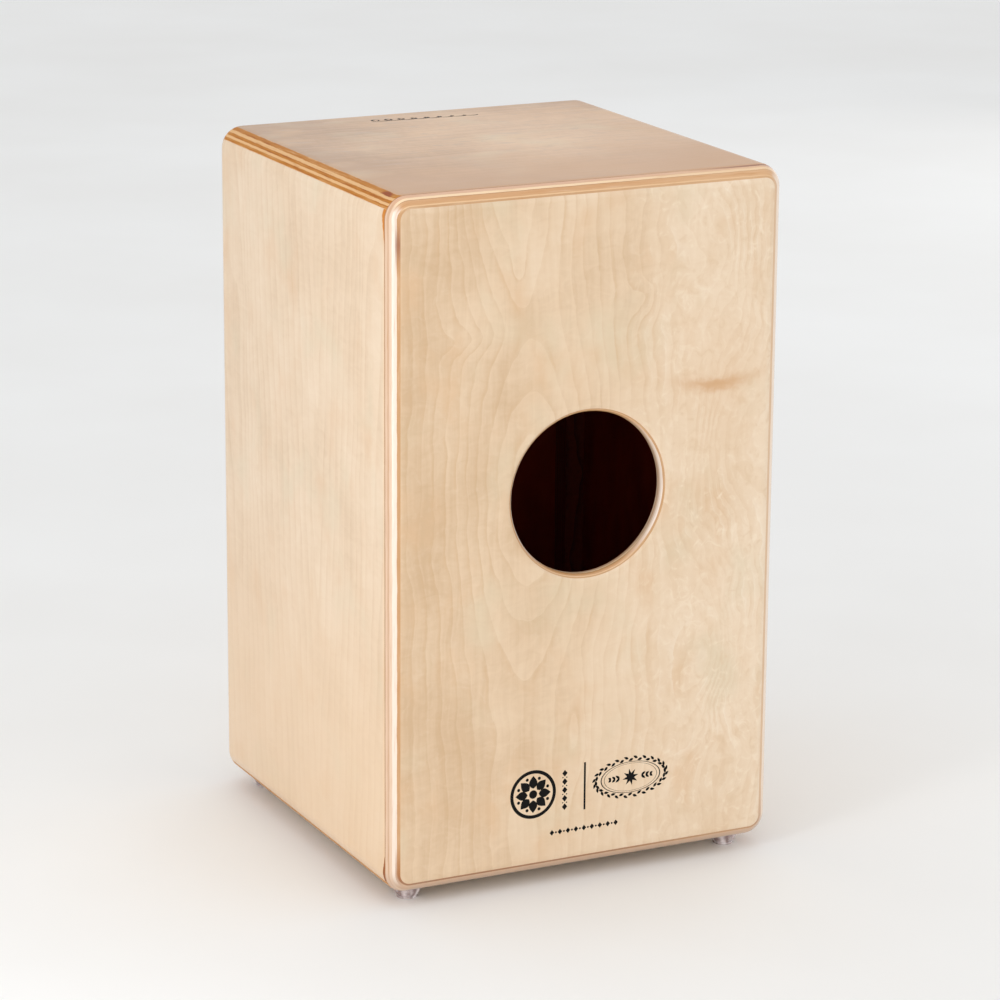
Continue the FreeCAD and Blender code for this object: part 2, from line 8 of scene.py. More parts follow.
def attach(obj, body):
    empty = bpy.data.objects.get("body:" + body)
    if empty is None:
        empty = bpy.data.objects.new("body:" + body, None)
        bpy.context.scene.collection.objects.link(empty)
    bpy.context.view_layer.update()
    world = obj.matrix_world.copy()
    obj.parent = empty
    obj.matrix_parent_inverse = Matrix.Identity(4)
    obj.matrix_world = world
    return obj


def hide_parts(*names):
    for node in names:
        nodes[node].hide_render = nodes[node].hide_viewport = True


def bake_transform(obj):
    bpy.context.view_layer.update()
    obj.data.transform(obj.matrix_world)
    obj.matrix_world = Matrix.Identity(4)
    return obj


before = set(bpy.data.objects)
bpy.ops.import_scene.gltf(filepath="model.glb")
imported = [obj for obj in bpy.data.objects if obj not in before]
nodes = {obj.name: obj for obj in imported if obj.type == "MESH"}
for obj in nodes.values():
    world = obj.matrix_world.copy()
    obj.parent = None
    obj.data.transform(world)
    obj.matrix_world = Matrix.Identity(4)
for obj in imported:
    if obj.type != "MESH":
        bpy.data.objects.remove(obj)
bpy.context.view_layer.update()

# ---- sizes, in millimetres in the row frame unless a name says otherwise ------------------------
MM = 0.001
HALF_WIDTH = 150.0
HALF_DEPTH = 150.0
FACE_Y = HALF_DEPTH            # outer face of the back
SEAT_Z = 500.0
BODY_BOTTOM = 10.0
LONG_EDGE_RADIUS = 16.0
HOLE_Z = 282.0
HOLE_REACH = 66.0              # the rounded edge of the sound hole ends inside this radius
PANEL = 9.0
TAPA = 3.0
MIDDLE_Z = (SEAT_Z + BODY_BOTTOM) / 2
CORE_X = HALF_WIDTH - LONG_EDGE_RADIUS     # where the outline's corners begin to round
CORE_Z = SEAT_Z - LONG_EDGE_RADIUS - MIDDLE_Z
FOOT_PLACE = 126.0             # from the middle planes to a foot's axis


# ---- shader expressions -------------------------------------------------------------------------
class Term:
    """A value in a shader: sums and products of it add math nodes."""

    def __init__(self, net, socket):
        self.net = net
        self.socket = socket

    def __add__(self, other):
        return self.net.math("ADD", self, other)

    def __sub__(self, other):
        return self.net.math("SUBTRACT", self, other)

    def __rsub__(self, other):
        return self.net.math("SUBTRACT", other, self)

    def __mul__(self, other):
        return self.net.math("MULTIPLY", self, other)

    def __truediv__(self, other):
        return self.net.math("DIVIDE", self, other)

    def __pow__(self, other):
        return self.net.math("POWER", self, other)

    __radd__ = __add__
    __rmul__ = __mul__

    def abs(self):
        return self.net.math("ABSOLUTE", self)

    def fract(self):
        return self.net.math("FRACT", self)

    def over(self, edge):
        """1 above the edge, else 0."""
        return self.net.math("GREATER_THAN", self, edge)

    def least(self, other):
        return self.net.math("MINIMUM", self, other)

    def most(self, other):
        return self.net.math("MAXIMUM", self, other)

    def step(self, low, high):
        """Smooth step from 0 at low to 1 at high."""
        return self.net.add("MapRange", {0: self, 1: low, 2: high, 3: 0.0, 4: 1.0},
                            interpolation_type="SMOOTHSTEP")


class Net:
    """One material's nodes."""

    def __init__(self, name):
        self.material = bpy.data.materials.new(name)
        self.material.use_nodes = True
        self.tree = self.material.node_tree
        self.tree.nodes.clear()
        place = self.node("TexCoord", {}).outputs["Object"]
        parts = self.node("SeparateXYZ", {0: place}).outputs
        self.x = Term(self, parts[0]) * (1 / MM)
        self.y = Term(self, parts[1]) * (1 / MM)
        self.z = Term(self, parts[2]) * (1 / MM)

    def node(self, kind, values, **settings):
        node = self.tree.nodes.new("ShaderNode" + kind)
        for key, value in settings.items():
            setattr(node, key, value)
        for key, value in values.items():
            if isinstance(value, Term):
                value = value.socket
            if isinstance(value, bpy.types.NodeSocket):
                self.tree.links.new(value, node.inputs[key])
            else:
                node.inputs[key].default_value = value
        return node

    def add(self, kind, values, **settings):
        return Term(self, self.node(kind, values, **settings).outputs[0])

    def math(self, operation, a, b=0.0):
        return self.add("Math", {0: a, 1: b}, operation=operation)

    def vector(self, x, y, z=0.0):
        return self.add("CombineXYZ", {0: x, 1: y, 2: z})

    def noise(self, place, detail=2.0, distortion=0.0):
        """Noise around 0, about 1 from lowest to highest, one cell to a unit of place."""
        fac = self.add("TexNoise", {"Vector": place, "Scale": 1.0, "Detail": detail,
                                    "Roughness": 0.5, "Distortion": distortion})
        return fac - 0.5

    def lumps(self, size, detail=2.0, distortion=0.0):
        """Noise in space; its cells have one size, or three along X, Y and Z."""
        wide, deep, high = size if isinstance(size, tuple) else (size, size, size)
        place = self.vector(self.x / wide, self.y / deep, self.z / high)
        return self.noise(place, detail, distortion)

    def cells(self, across, along, size, seed, detail=2.0, distortion=0.0):
        """Noise over a face; its cells have a size across and one along the grain."""
        place = self.vector(across / size[0], along / size[1], seed)
        return self.noise(place, detail, distortion)

    def hill(self, *offsets):
        """1 where every offset is 0, and near 0 from about 2 on."""
        total = offsets[0] * offsets[0]
        for offset in offsets[1:]:
            total = total + offset * offset
        return self.math("EXPONENT", total * -1.0)

    def ramp(self, value, stops, constant=False):
        """Colours or greys at stops from 0 to 1; constant makes bands of them."""
        node = self.node("ValToRGB", {0: value})
        band = node.color_ramp
        band.interpolation = "CONSTANT" if constant else "LINEAR"
        while len(band.elements) < len(stops):
            band.elements.new(0.5)
        for element, (at, colour) in zip(band.elements, stops):
            element.position = at
            element.color = (*colour, 1) if isinstance(colour, tuple) else (colour, colour, colour, 1)
        return Term(self, node.outputs[0])

    def mix(self, share, a, b):
        """Colour a where share is 0 and b where it is 1."""
        a, b = ((*c, 1.0) if isinstance(c, tuple) else c for c in (a, b))
        node = self.node("Mix", {0: share, 6: a, 7: b}, data_type="RGBA", clamp_factor=True)
        return Term(self, node.outputs[2])

    def bump(self, height, distance, strength):
        return self.add("Bump", {"Strength": strength, "Distance": distance, "Height": height})

    def finish(self, colour, roughness, normal=None, **more):
        values = {"Base Color": (*colour, 1.0) if isinstance(colour, tuple) else colour,
                  "Roughness": roughness}
        if normal is not None:
            values["Normal"] = normal
        values.update({key.replace("_", " "): value for key, value in more.items()})
        shader = self.node("BsdfPrincipled", values)
        end = self.node("OutputMaterial", {0: shader.outputs[0]})
        self.tree.nodes.active = end
        return self.material


def srgb(red, green, blue):
    """Linear colour of an 8-bit sRGB one."""
    def one(value):
        value /= 255
        return value / 12.92 if value <= 0.04045 else ((value + 0.055) / 1.055) ** 2.4
    return one(red), one(green), one(blue)


# ---- wood ---------------------------------------------------------------------------------------
VENEER_LIGHT = srgb(243, 219, 190)
VENEER_MID = srgb(233, 204, 170)
VENEER_DARK = srgb(214, 180, 141)
RING_LINE = srgb(212, 168, 118)
PALE_LINE = srgb(255, 242, 224)
WARM_CLOUD = srgb(226, 186, 143)
GREEN_CLOUD = srgb(222, 205, 172)
SEAT_LIGHT = srgb(234, 198, 162)
SEAT_MID = srgb(217, 179, 143)
SEAT_DARK = srgb(190, 153, 121)
PLY_LIGHT = srgb(224, 172, 108)
PLY_PALE = srgb(246, 220, 190)
PLY_DARK = srgb(190, 122, 42)
PLY_BROWN = srgb(152, 74, 14)
# painted shade for the inside of the box
INNER_SHADE = srgb(168, 58, 28)
FACE_VENEER = 0.6              # thickness of a panel's outer veneer
TAPA_VENEER = 0.5
INNER_SHADE_DEPTH = 0.04             # of the painted shade inside the box

# Single patches of the wood
MOTTLE_DARK = srgb(226, 194, 156)
MOTTLE_LIGHT = srgb(251, 232, 206)
SMUDGE = (-99, 349.5, 26, 4.2)     # the back's brown smudge: middle X and Z, half sizes
SMUDGE_TONE = srgb(208, 152, 94)
SIDE_LOW_TONE = srgb(234, 198, 156)
SEAT_GREY = srgb(196, 170, 148)
SEAT_TAN = srgb(206, 160, 118)
KNOT = srgb(140, 56, 26)
LEVEL_EDGE_SOFT = srgb(232, 188, 142)
GLUE_LINE = srgb(140, 76, 40)
SCORCH_LOW = srgb(166, 96, 38)
SCORCH_TOP = srgb(146, 80, 50)
# painted reflection of the floor on the bottom edge's inner plies
FLOOR_REFLECTION_PLIES = srgb(206, 176, 152)
UNDER_LINE = srgb(150, 98, 68)
SPUR_LOW = srgb(150, 84, 34)
SPUR_TOP = srgb(204, 130, 52)

# Cut edges of the back's plies, from the face inwards: share of the thickness where each starts
# the cream band from 0.455 is a light ply painted brighter as a thin highlight
BACK_LEVEL_EDGE = [(0, srgb(204, 156, 108)), (0.12, srgb(236, 194, 146)), (0.17, srgb(216, 164, 114)),
                   (0.42, srgb(184, 132, 86)), (0.455, srgb(252, 220, 178)), (0.63, srgb(226, 180, 146)),
                   (0.94, srgb(168, 112, 72))]
# the near-white band from 0.17 is a light ply painted lighter still as the highlight on the upright edges
BACK_UPRIGHT_EDGE = [(0, srgb(206, 156, 106)), (0.17, srgb(248, 228, 210)), (0.40, srgb(232, 200, 172)),
                     (0.58, srgb(212, 172, 140)), (0.72, srgb(226, 192, 162)), (0.92, srgb(176, 126, 86))]

# Where the plies of the other cut edges end, as shares of the thickness
SIDE_PLY_ENDS = (0.067, 0.24, 0.42, 0.6, 0.78, 0.93)
SEAT_PLY_ENDS = (0.067, 0.245, 0.41, 0.60, 0.76, 0.97)
BOTTOM_PLY_ENDS = (0.067, 0.245, 0.41, 0.60, 0.76, 0.93)

# How a face's rings lie: middle of the ridge across the grain, distance between rings, flatness of
# the ridge, rise along the grain, then its hills: middle across and along, half sizes, rings
BACK_FIGURE = (48, 11, 7.0, 0.0, (
    (38, 290, 64, 98, 4.3),
    (64, 500, 44, 70, 3.6),
    (55, 444, 7, 16, 1.1),
    (92, 400, 20, 12, -1.4),
    (-92, 150, 22, 66, 4.2),
    (46, 40, 30, 60, 1.0),
    (-118, 300, 30, 60, -2.5),
    (-100, 440, 34, 50, 3.0),
    (-42, 414, 14, 14, 1.3),
    (6, 110, 10, 40, 1.5),
))
SIDE_FIGURE = (28, 10, 0.15, 0.0072, (
    (-82, 268, 5, 16, 1.2),
    (112, 420, 14, 170, -1.6),
    (-108, 380, 16, 210, -1.8),
))
TAPA_FIGURE = (-20, 12, 3.0, 0.004, (
    (-24, 300, 50, 120, 4.0),
    (74, 180, 26, 110, 2.4),
    (-96, 160, 22, 90, 2.6),
    (96, 420, 26, 80, -2.4),
))
SEAT_FIGURE = (330, 9, 1.0, 0.0, (
    (10, 30, 22, 240, 1.6),
    (-70, -70, 18, 150, 1.4),
))


def ring_phase(net, across, along, figure, seed, calm):
    """Place across the grain with its wander, and how far the next ring has come: 0 to 1."""
    axis, pitch, flat, tilt, hills = figure
    bend = net.cells(across, along, (22, 34), seed + 3.1, 3.0) * 11.0
    slow = net.cells(across, along, (60, 90), seed, 1.0) * 18.0
    a_bent = across + (bend + slow) * calm
    b_bent = along + net.cells(across, along, (18, 26), seed + 5.3) * (16.0 * calm)
    ridge = (a_bent - axis) / pitch
    rings = b_bent * tilt - (ridge * ridge + flat) ** 0.5
    for middle_across, middle_along, half_across, half_along, count in hills:
        a = (a_bent - middle_across) / half_across
        b = (b_bent - middle_along) / half_along
        rings = rings + net.hill(a, b) * count
    return a_bent, rings.fract()


def veneer(net, across, along, figure, seed, ring_share=1.0, calm=1.0, tones=None, lean=0.0,
           gleam=0.0):
    """Rotary-cut birch: colour and height of a face; across and along the grain in millimetres.

    calm scales the wander of the rings, lean shifts the tone (the seat and the back paint highlight and
    shade with it) and gleam adds pale lines.
    """
    dark, mid, light = tones or (VENEER_DARK, VENEER_MID, VENEER_LIGHT)
    a_bent, phase = ring_phase(net, across, along, figure, seed, calm)
    line = (phase ** 6.0) * ((1.0 - phase) / 0.10).least(1.0)
    strength = net.cells(across, along, (24, 36), seed + 7.7).step(-0.14, 0.27)
    line = line * (strength * 0.9 + 0.1)

    fibre = net.cells(across, along, (0.7, 40), seed)
    streak = net.cells(a_bent, along, (3.2, 110), seed + 1.3, 3.0)
    blotch = net.cells(across, along, (15, 8), seed + 4.9, 3.0, 1.2)
    cloud = net.cells(across, along, (55, 80), seed + 9.1)
    tone = cloud * 0.8 + streak * 0.30 + fibre * 0.10 + blotch * 0.30 + phase * -0.12 + lean + 0.58
    colour = net.ramp(tone, [(0.12, dark), (0.5, mid), (0.88, light)])

    warm = net.cells(across, along, (30, 50), seed + 13.0, 3.0)
    colour = net.mix(warm.step(0.0, 0.3) * 0.6, colour, WARM_CLOUD)
    cool = net.cells(across, along, (45, 60), seed + 17.0)
    colour = net.mix(cool.step(0.0, 0.3) * 0.5, colour, GREEN_CLOUD)
    colour = net.mix(line * (0.72 * ring_share), colour, RING_LINE)
    pale_line = (phase + 0.55).fract() ** 9.0
    colour = net.mix(pale_line * strength * gleam, colour, PALE_LINE)

    flecks = net.cells(across, along, (0.8, 3.2), seed + 21.0, 1.0).step(0.28, 0.38)
    colour = net.mix(flecks * 0.16, colour, dark)
    height = fibre * 0.6 + streak * 0.3 + line * -0.35
    return colour, height


def end_share(net, grain_up):
    """How far a panel's edge cuts across plies whose grain is upright (or else level): 0 to 1."""
    near_x = net.x
    near_z = net.z - HOLE_Z
    in_hole = 1.0 - (near_x * near_x + near_z * near_z).over(HOLE_REACH * HOLE_REACH)
    past_x = (net.x.abs() - CORE_X).most(0.0)
    past_z = ((net.z - MIDDLE_Z).abs() - CORE_Z).most(0.0)
    dx = net.add("Mix", {0: in_hole, 2: past_x, 3: near_x.abs()})
    dz = net.add("Mix", {0: in_hole, 2: past_z, 3: near_z.abs()})
    upright = (dz * dz) / (dx * dx + dz * dz + 0.01)
    return upright if grain_up else 1.0 - upright


def ply_bands(net, depth, ends):
    """1 in every second ply, else 0."""
    stops = [(at, k % 2) for k, at in enumerate((0, *ends))]
    return net.ramp(depth / PANEL, stops, constant=True)


def ply_colour(net, end, round_the_edge, depth, seed, pale):
    """Colour of a ply's cut edge: end grain is brown, long grain is light, both with streaks."""
    flow = net.cells(round_the_edge, depth, (24, 0.7), seed, 3.0)
    slow = net.cells(round_the_edge, depth, (40, 3), seed + 2.0)
    light = net.mix(pale, PLY_LIGHT, PLY_PALE)
    brown = net.mix((flow + slow).step(0.0, 0.45), PLY_DARK, PLY_BROWN)
    burnt = net.cells(round_the_edge, depth, (30, 1.1), seed + 4.0).step(0.06, 0.26)
    brown = net.mix(burnt * 0.6, brown, PLY_BROWN)
    return net.mix((end * 0.7 + flow * 1.3 + slow * 0.8 + 0.15).step(0.1, 0.9), light, brown)


def satin(net, colour, height, rough=0.40, coat_share=0.8, cut=0.0):
    """Satin clear lacquer over wood; where cut is 1, on open ply edges, it has soaked in."""
    worn = net.lumps(40)
    fine = net.lumps(1.4, 1.0)
    normal = net.bump(height, 0.00012, 0.55)
    coat = net.bump(fine, 0.00004, 0.3)
    return net.finish(colour, worn * 0.12 + fine * 0.05 + rough, normal,
                      Coat_Weight=coat_share - cut * (coat_share * 0.75),
                      Coat_Roughness=worn * 0.08 + 0.17, Coat_Normal=coat, Coat_IOR=1.55,
                      Specular_IOR_Level=0.3 - cut * 0.22)


def inner_painted_shade(net, colour, depth, thickness):
    """Painted shade: the inner faces of the box are coloured dark reddish, darker in clouds."""
    cloud = net.lumps((30, 30, 60), 3.0)
    painted_shade = net.mix(cloud.step(-0.3, 0.4), INNER_SHADE, tuple(0.55 * c for c in INNER_SHADE))
    return net.mix(depth.over(thickness - INNER_SHADE_DEPTH), colour, painted_shade)


def back_face(net):
    """Veneer of the back: broad figure on one half, curly and mottled on the other, one smudge."""
    curly = ((net.x + 10) / -70.0).step(0.0, 1.0)
    faint = 0.9 - curly * 0.35 - (180.0 - net.z).step(0.0, 90.0) * 0.25
    # painted shading: the lean net.x * -0.0020 darkens the back towards +X and lightens it towards -X
    colour, height = veneer(net, net.x, net.z, BACK_FIGURE, 2.0, faint, curly * 0.9 + 0.75, None,
                            net.x * -0.0020, curly * 0.4)
    mottle = net.cells(net.x, net.z, (9, 11), 33.0, 3.0, 1.5)
    colour = net.mix(mottle.step(0.02, 0.28) * (curly * 0.4 + 0.1), colour, MOTTLE_DARK)
    colour = net.mix((mottle * -1.0).step(0.02, 0.28) * (curly * 0.45 + 0.1), colour, MOTTLE_LIGHT)
    smudge_x, smudge_z, half_wide, half_high = SMUDGE
    along = (net.x - smudge_x) / half_wide
    waver = net.cells(net.x, net.z, (9, 6), 0.0) * 7
    smudge = net.hill(along, (net.z - smudge_z - along * along * 3.0 + waver) / half_high)
    colour = net.mix(smudge * 0.85, colour, SMUDGE_TONE)
    glow = net.hill((net.x + 105) / 34, (net.z - 352) / 42)
    return net.mix(glow * 0.35, colour, WARM_CLOUD), height


def back_level_plies(net, place):
    """Edge above and below, softer towards -X, with a dark glue line at the far top corner."""
    # the cream band of BACK_LEVEL_EDGE is partly a painted highlight
    level = net.ramp(place, BACK_LEVEL_EDGE, constant=True)
    right = net.x * -1.0
    level = net.mix(right.step(-20.0, 130.0) * 0.4, level, LEVEL_EDGE_SOFT)
    return net.mix(place.over(0.80) * right.step(70.0, 130.0) * 0.85, level, GLUE_LINE)


def back_upright_plies(net, place, depth):
    """Edge at the sides; its first ply is scorched above the feet and near the top left corner."""
    # the pale band of BACK_UPRIGHT_EDGE is partly a painted highlight
    upright = net.ramp(place, BACK_UPRIGHT_EDGE, constant=True)
    first_ply = 1.0 - depth.over(2.1)
    foot_corner = (52.0 - net.z).step(0.0, 30.0)
    upright = net.mix(first_ply * foot_corner * 0.8, upright, SCORCH_LOW)
    top_corner = net.hill((net.z - 468) / 11) * net.x.over(100.0)
    return net.mix(first_ply * top_corner * 0.7, upright, SCORCH_TOP)


def back_edge(net, depth):
    """Cut plies round the back's outline and its sound hole."""
    waver = net.cells(net.x, net.z, (14, 14), 7.0, 3.0) * 0.5
    place = (depth + waver * depth.step(0.6, 1.6)) / PANEL
    flow = net.lumps((22, 0.7, 22), 3.0)
    cut_across = (end_share(net, True) + flow * 0.25).step(0.15, 0.85)
    edge = net.mix(cut_across, back_upright_plies(net, place, depth), back_level_plies(net, place))
    edge = net.mix(flow.step(0.0, 0.4) * 0.55, edge, PLY_DARK)
    edge = net.mix((flow * -1.0).step(0.0, 0.4) * 0.4, edge, PLY_PALE)
    far_edge = (net.x * -1.0).step(96.0, 146.0)
    edge = net.mix(far_edge * (1.0 - cut_across) * 0.45, edge, PLY_PALE)
    # painted floor reflection: along the bottom edge the inner plies turn paler and greyer; the first ply
    # keeps its dark line
    underneath = (30.0 - net.z).step(0.0, 14.0)
    inner_plies = depth.over(1.2)
    edge = net.mix(underneath * inner_plies * 0.7, edge, FLOOR_REFLECTION_PLIES)
    line_share = 0.75 - (net.x * -1.0).step(-20.0, 130.0) * 0.4
    return net.mix(underneath * (1.0 - inner_plies) * line_share, edge, UNDER_LINE)


def back_panel_material():
    net = Net("birch_back")
    colour, height = back_face(net)
    depth = FACE_Y - net.y
    colour = net.mix(depth.over(FACE_VENEER), colour, back_edge(net, depth))
    return satin(net, inner_painted_shade(net, colour, depth, PANEL), height)


def side_spur(net):
    """Slivers of the second ply at the back's seam, sanded bare near the top and the bottom."""
    ragged = net.cells(net.z, net.y, (2.5, 1.5), 1.0) * 1.2
    top_width = ((net.z - 466.0) / 24.0).least(1.0) * 3.6
    low_width = ((40.0 - net.z) / 14.0).least(1.0) * 2.6
    width = top_width.most(low_width)
    bare = (net.y - (FACE_Y - PANEL) + width + ragged).step(0.0, 0.5) * width.step(0.0, 0.3)
    return bare, net.mix((net.z - MIDDLE_Z).step(0.0, 10.0), SPUR_LOW, SPUR_TOP)


def side_panel_material(side):
    net = Net("birch_side_" + ("left" if side > 0 else "right"))
    colour, height = veneer(net, net.y, net.z, SIDE_FIGURE, 11.0 + side, 0.7, 0.45)
    colour = net.mix((270.0 - net.z).step(0.0, 190.0) * 0.55, colour, SIDE_LOW_TONE)
    depth = HALF_WIDTH - net.x * side
    rounding = ((net.z - MIDDLE_Z).abs() - CORE_Z).step(0.0, 3.0)
    waver = net.cells(net.z, net.y, (20, 16), 5.0) * 0.5
    cut = depth - rounding * 1.15 + waver * depth.step(0.8, 1.6)
    band = ply_bands(net, cut, SIDE_PLY_ENDS)
    spur, spur_tone = side_spur(net)
    edge = net.mix(spur, ply_colour(net, band, net.z, cut, 8.0, 0.3), spur_tone)
    open_edge = cut.over(FACE_VENEER).most(spur)
    colour = net.mix(open_edge, colour, edge)
    return satin(net, inner_painted_shade(net, colour, depth, PANEL), height, cut=open_edge)


def seat_face(net):
    """Grain across the seat: a painted highlight makes it lightest in the middle; warmer towards the
    back, greyish patches.
    """
    # painted highlight: lean lightens the tone in the middle and darkens it towards the edges
    lean = ((net.x + 35) / 150) ** 2.0 * -0.58 + ((net.y + 15) / 135) ** 2.0 * -0.38 + 0.2
    tones = (SEAT_DARK, SEAT_MID, SEAT_LIGHT)
    colour, height = veneer(net, net.y, net.x, SEAT_FIGURE, 23.0, 0.5, 0.5, tones, lean)
    grey = net.cells(net.x, net.y, (17, 8), 41.0, 3.0, 1.2)
    colour = net.mix(grey.step(0.0, 0.28) * 0.5, colour, SEAT_GREY)
    tan = ((net.y + 10) / 130).step(0.0, 1.0) * 0.7 + (net.x * -1.0).step(0.0, 130.0) * 0.22
    return net.mix(tan, colour, SEAT_TAN), height


def seat_edge(net):
    """Cut plies, scorched towards the corners, with one dark knot near the back left corner."""
    depth = SEAT_Z - net.z + net.cells(net.x, net.y, (18, 9), 5.0) * 0.7
    band = ply_bands(net, depth, SEAT_PLY_ENDS)
    edge = ply_colour(net, band, net.y, depth, 14.0, 0.2)
    burnt = net.cells(net.y, net.z, (16, 2.2), 3.0).step(0.16, 0.3)
    corner = ((net.y.abs() - 118.0) / 20.0).most(0.0).least(1.0)
    edge = net.mix(burnt * (corner * 0.75 + 0.25) * 0.8, edge, PLY_BROWN)
    knot = net.hill((net.y - 127) / 8, (net.x - 142) / 4)
    return net.mix(knot.step(0.2, 0.7) * (1.0 - depth.over(2.4)) * 0.8, edge, KNOT)


def seat_material():
    net = Net("birch_seat")
    colour, height = seat_face(net)
    depth = SEAT_Z - net.z
    open_edge = depth.over(FACE_VENEER)
    colour = net.mix(open_edge, colour, seat_edge(net))
    return satin(net, inner_painted_shade(net, colour, depth, PANEL), height, 0.42, 0.25, open_edge)


def bottom_material():
    net = Net("birch_bottom")
    colour, height = veneer(net, net.y, net.x, SEAT_FIGURE, 31.0, 0.8, 0.8)
    depth = net.z - BODY_BOTTOM
    band = ply_bands(net, depth, BOTTOM_PLY_ENDS)
    open_edge = depth.over(FACE_VENEER)
    colour = net.mix(open_edge, colour, ply_colour(net, band, net.y, depth, 4.0, 0.1))
    return satin(net, inner_painted_shade(net, colour, depth, PANEL), height, 0.48, cut=open_edge)


def tapa_material():
    """Playing face: three thin plies, the middle one cut across where the edge runs upright."""
    net = Net("birch_tapa")
    colour, height = veneer(net, net.x, net.z, TAPA_FIGURE, 41.0, 1.1)
    depth = net.y + HALF_DEPTH
    edge = ply_colour(net, end_share(net, False), net.x + net.z, depth, 6.0, 0.2)
    colour = net.mix(depth.over(TAPA_VENEER), colour, edge)
    colour = net.mix(depth.over(TAPA - TAPA_VENEER), colour, VENEER_MID)
    return satin(net, inner_painted_shade(net, colour, depth, TAPA), height, 0.36)


def batten_material():
    """Planed softwood coloured dark reddish as painted shade inside the box; rings show through it."""
    net = Net("batten_painted_shade")
    wander = net.lumps(60)
    rings = (net.y * 0.35 + net.x * 0.08 + wander * 3.0).fract()
    fibre = net.lumps((3, 0.5, 3), 3.0)
    # painted shade: the wood's colours are kept dark for the inside of the box
    colour = net.ramp(rings ** 3.0 * 0.5 + fibre * 0.5 + 0.25,
                      [(0.1, srgb(146, 60, 34)), (0.5, srgb(120, 46, 26)), (0.9, srgb(80, 30, 18))])
    return net.finish(colour, fibre * 0.15 + 0.62, net.bump(fibre + rings * 0.4, 0.0002, 0.6))


# ---- metals, rubber and ink ---------------------------------------------------------------------
NICKEL = srgb(196, 190, 180)
BLACK_OXIDE = srgb(62, 61, 63)
BRASS = srgb(206, 168, 98)
WINDING_PITCH = 0.3            # of a snare string


def brushed_metal(name, colour, rough, lay=(0.4, 0.4, 6.0)):
    """Metal with fine tool marks along one axis, cloudy tone and small stains."""
    net = Net(name)
    marks = net.lumps(lay, 3.0)
    cloud = net.lumps(5, 3.0)
    spot = net.lumps(1.3).step(0.15, 0.4)
    base = net.mix(cloud.step(-0.35, 0.35), tuple(0.78 * c for c in colour), colour)
    base = net.mix(spot * 0.25, base, tuple(0.5 * c for c in colour))
    return net.finish(base, cloud * 0.14 + marks * 0.12 + rough, net.bump(marks, 0.00003, 0.6),
                      Metallic=1.0)


def zinc_material():
    """Bright zinc: pale, faintly blue and yellow in patches."""
    net = Net("zinc_plated")
    patch = net.lumps(6, 3.0, 0.8)
    grain = net.lumps(0.5)
    base = net.ramp(patch + 0.5, [(0.2, srgb(176, 182, 196)), (0.5, srgb(204, 204, 204)),
                                  (0.8, srgb(208, 200, 176))])
    return net.finish(base, grain * 0.1 + patch * 0.12 + 0.3, net.bump(grain, 0.00003, 0.5),
                      Metallic=1.0)


def rubber_material():
    """Grey, slightly clear moulded rubber: pale streaks up its wall are painted highlights; mould lines
    and dust.
    """
    net = Net("foot_rubber")
    speck = net.lumps(0.35)
    cloud = net.lumps(4)
    mould_lines = net.noise(net.vector(0.0, 0.0, net.z / 0.25), 1.0)
    # painted highlights: near-white streaks round each foot
    flow = net.cells(net.x.abs() - FOOT_PLACE, net.y.abs() - FOOT_PLACE, (6, 6), 2.0, 1.0)
    base = net.mix((cloud * 0.5 + speck * 0.3 + flow * 1.8).step(-0.2, 0.3), srgb(140, 116, 114),
                   srgb(248, 238, 240))
    dust = (2.2 - net.z).step(0.0, 2.0)
    base = net.mix(dust * 0.25, base, srgb(196, 184, 172))
    return net.finish(base, speck * 0.06 + dust * 0.12 + 0.14,
                      net.bump(speck * 0.4 + mould_lines, 0.00006, 0.4),
                      Coat_Weight=1.0, Coat_Roughness=0.06, Coat_IOR=1.7, Subsurface_Weight=0.15,
                      Subsurface_Radius=(0.002, 0.001, 0.001), Subsurface_Scale=1.0)


def ink_material():
    """Screen-printed black with a faint weave of the screen and thin places."""
    net = Net("print_ink")
    weave = net.lumps(0.3, 1.0)
    thin = net.lumps(5, 3.0)
    base = net.mix((thin + weave * 0.5).step(0.1, 0.6) * 0.5, srgb(9, 7, 7), srgb(30, 24, 21))
    return net.finish(base, weave * 0.15 + 0.6, net.bump(weave, 0.00002, 0.5),
                      Specular_IOR_Level=0.15)


def string_material():
    """Nickel-wound string: bright ridges with darker grooves between them; the grooves' dark is painted
    shade.
    """
    net = Net("wound_string")
    turns = net.math("SINE", net.z * (2 * math.pi / WINDING_PITCH))
    cloud = net.lumps((3, 3, 8))
    # painted shade: the colour darkens in the grooves between the turns
    base = net.mix(turns.step(-0.8, 0.6), srgb(104, 98, 92), srgb(206, 200, 190))
    return net.finish(base, cloud * 0.2 + 0.3, net.bump(turns, 0.00004, 0.7), Metallic=1.0)


# ---- mesh helpers -------------------------------------------------------------------------------
def publish(name, bm, material):
    """Makes an object of a bmesh, with its geometry already in the row frame."""
    bmesh.ops.recalc_face_normals(bm, faces=bm.faces)
    mesh = bpy.data.meshes.new(name)
    bm.to_mesh(mesh)
    bm.free()
    piece = bpy.data.objects.new(name, mesh)
    bpy.context.scene.collection.objects.link(piece)
    mesh.materials.append(material)
    return piece


INK_LIFT = 0.02                # how far the print stands out of the lacquer
INK_SINK = 0.03                # and how far it goes below the surface
LEAF_SKEW = 0.8                # below 1, a leaf is widest nearer its root


def on_back(u, v, lift):
    """A point of a print on the back: u to the right as one looks at it, v up from the floor."""
    return Vector((-u, FACE_Y + lift, v)) * MM


def on_seat(u, v, lift):
    """A point of a print on the seat: u as on the back, v towards the back."""
    return Vector((-u, v, SEAT_Z + lift)) * MM


